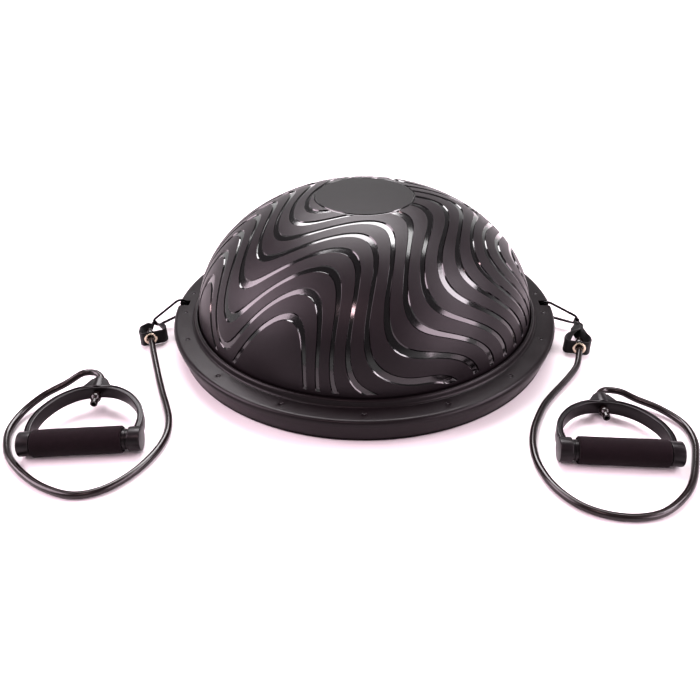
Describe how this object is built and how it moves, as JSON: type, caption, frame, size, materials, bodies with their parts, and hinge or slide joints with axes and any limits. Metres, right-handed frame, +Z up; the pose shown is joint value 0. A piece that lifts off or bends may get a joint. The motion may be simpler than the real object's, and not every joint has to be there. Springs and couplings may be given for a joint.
{
  "type": "balance dome trainer",
  "caption": "Inflated half-ball on a flat round base for balance exercises, with a rubber hose and a loop handle clipped to each side of the rim.",
  "frame": {"origin": "centre of the base's underside, on the floor", "axes": "+Z up through the top of the dome; X through the two clips, +X to the right-hand clip; the hoses lie towards -Y"},
  "size_m": [0.8639, 0.7045, 0.2157],
  "materials": {
    "dome_pvc": "satin charcoal PVC with glossy wavy grooves",
    "base_plastic": "satin black moulding",
    "grip_rubber": "matt black rubber",
    "screw_steel": "zinc plated",
    "clip_steel": "blackened steel wire",
    "strap_webbing": "black webbing",
    "eyelet_metal": "pale plated brass",
    "hose_rubber": "glossy black latex hose",
    "yoke_plastic": "satin black moulding",
    "grip_foam": "matt black foam"
  },
  "bodies": {
    "trainer": {"anchor_bar_left": "clip_steel", "anchor_bar_right": "clip_steel", "anchor_plug_left": "yoke_plastic", "anchor_plug_right": "yoke_plastic", "base_pan": "base_plastic", "centre_pad": "grip_rubber", "clamp_screw_01": "screw_steel", "clamp_screw_02": "screw_steel", "clamp_screw_03": "screw_steel", "clamp_screw_04": "screw_steel", "clamp_screw_05": "screw_steel", "clamp_screw_06": "screw_steel", "clamp_screw_07": "screw_steel", "clamp_screw_08": "screw_steel", "clamp_screw_09": "screw_steel", "clamp_screw_10": "screw_steel", "clamp_screw_11": "screw_steel", "clamp_screw_12": "screw_steel", "clamp_screw_13": "screw_steel", "clamp_screw_14": "screw_steel", "clamp_screw_15": "screw_steel", "clamp_screw_16": "screw_steel", "clamp_screw_17": "screw_steel", "clamp_screw_18": "screw_steel", "clip_body_left": "clip_steel", "clip_body_right": "clip_steel", "dome_shell": "dome_pvc", "eyelet_left": "eyelet_metal", "eyelet_right": "eyelet_metal", "eyelet_washer_left": "eyelet_metal", "eyelet_washer_right": "eyelet_metal", "gate_pin_left": "clip_steel", "gate_pin_right": "clip_steel", "grip_ring": "grip_rubber", "handle_plug_left": "yoke_plastic", "handle_plug_right": "yoke_plastic", "hose_end_anchor_left": "hose_rubber", "hose_end_anchor_right": "hose_rubber", "hose_end_handle_left": "hose_rubber", "hose_end_handle_right": "hose_rubber", "hose_left": "hose_rubber", "hose_right": "hose_rubber", "strap_left": "strap_webbing", "strap_right": "strap_webbing", "top_ring": "base_plastic", "valve_seat": "grip_rubber", "yoke_left": "yoke_plastic", "yoke_right": "yoke_plastic"},
    "valve_plug": {"valve_plug": "grip_rubber"},
    "left_gate": {"clip_gate_left": "clip_steel"},
    "right_gate": {"clip_gate_right": "clip_steel"},
    "left_grip": {"grip_core_left": "yoke_plastic", "foam_sleeve_left": "grip_foam"},
    "right_grip": {"grip_core_right": "yoke_plastic", "foam_sleeve_right": "grip_foam"}
  },
  "joints": [
    {"name": "valve_plug_pull", "type": "slide", "parent": "trainer", "child": "valve_plug", "axis": [0, 0, -1], "range_m": [0, 0.012]},
    {"name": "left_gate_hinge", "type": "hinge", "parent": "trainer", "child": "left_gate", "pos_m": [-0.31453, -0.01463, 0.00891], "axis": [0.4226, -0.9063, 0], "range_deg": [0, 25], "stiffness_Nm_per_rad": 0.1, "springref_deg": -8.59},
    {"name": "right_gate_hinge", "type": "hinge", "parent": "trainer", "child": "right_gate", "pos_m": [0.31805, -0.01578, 0.01205], "axis": [0.4226, 0.9063, 0], "range_deg": [0, 25], "stiffness_Nm_per_rad": 0.1, "springref_deg": -8.59},
    {"name": "left_grip_spin", "type": "hinge", "parent": "trainer", "child": "left_grip", "pos_m": [-0.3415, -0.3007, 0.0172], "axis": [0.9972, 0.075, 0], "continuous": true},
    {"name": "right_grip_spin", "type": "hinge", "parent": "trainer", "child": "right_grip", "pos_m": [0.3022, -0.3192, 0.0172], "axis": [0.9982, -0.0593, 0], "continuous": true}
  ]
}
